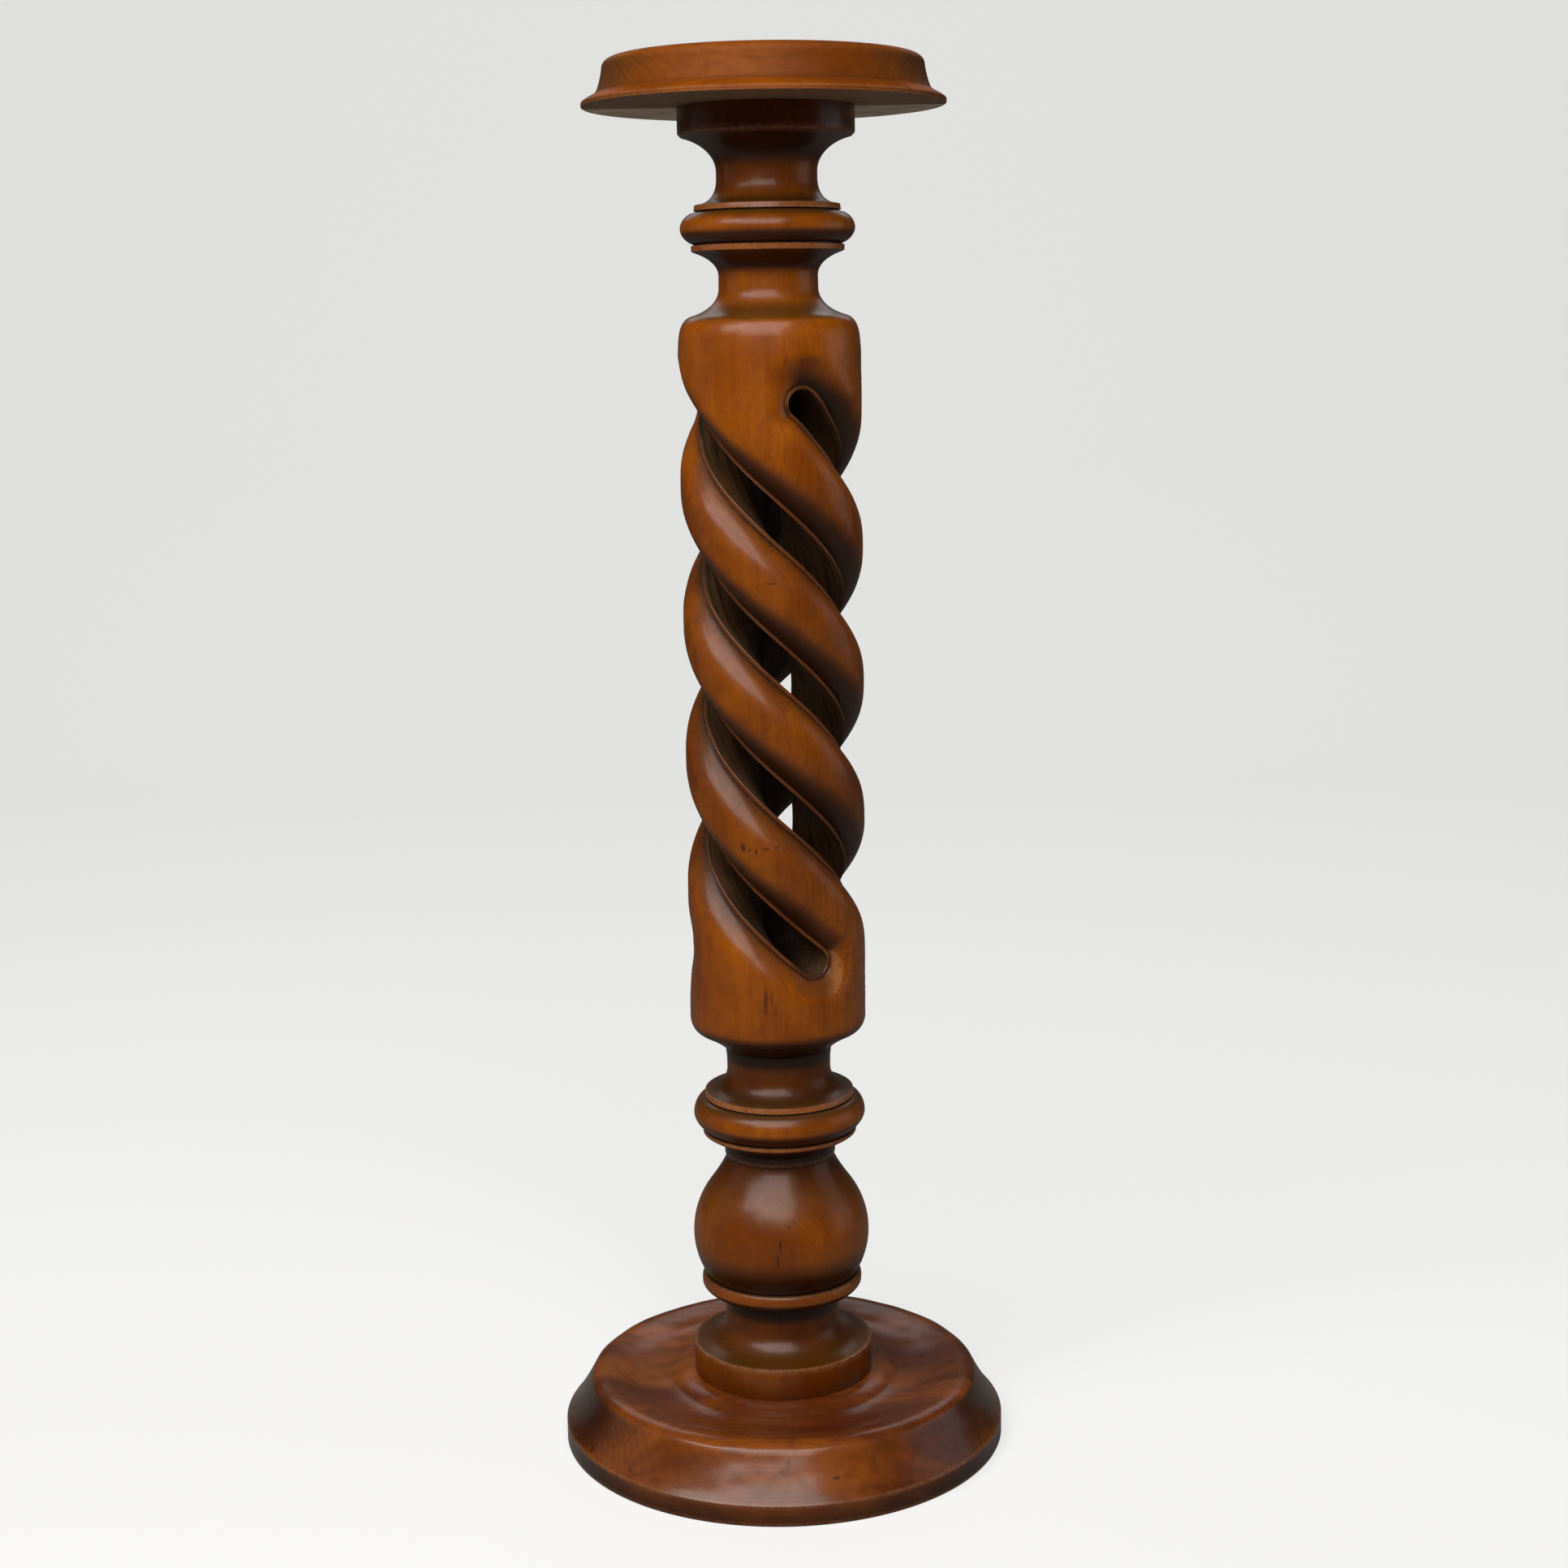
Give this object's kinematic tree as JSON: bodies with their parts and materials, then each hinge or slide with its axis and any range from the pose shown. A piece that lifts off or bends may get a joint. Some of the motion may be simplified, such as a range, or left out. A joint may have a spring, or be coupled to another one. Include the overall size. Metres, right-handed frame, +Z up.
{
  "type": "barley twist column",
  "caption": "Turned and carved hardwood pedestal with an open barley-twist shaft between moulded turnings, on a round dished foot board and under a round top board.",
  "frame": {"origin": "centre of the foot board's underside, on the floor", "axes": "+Z up along the turned axis; the view in the picture looks along +Y"},
  "size_m": [0.3276, 0.3276, 1.0017],
  "materials": {
    "foot_wood": "dark reddish-brown stained hardwood, worn satin varnish",
    "column_wood": "warm brown stained hardwood, satin-gloss varnish, darker in the carved slots",
    "top_wood": "dark brown stained hardwood, satin varnish above, dull and roughly tooled below"
  },
  "bodies": {
    "root": {"round_base": "foot_wood", "twist_column": "column_wood", "round_top": "top_wood"}
  },
  "joints": []
}
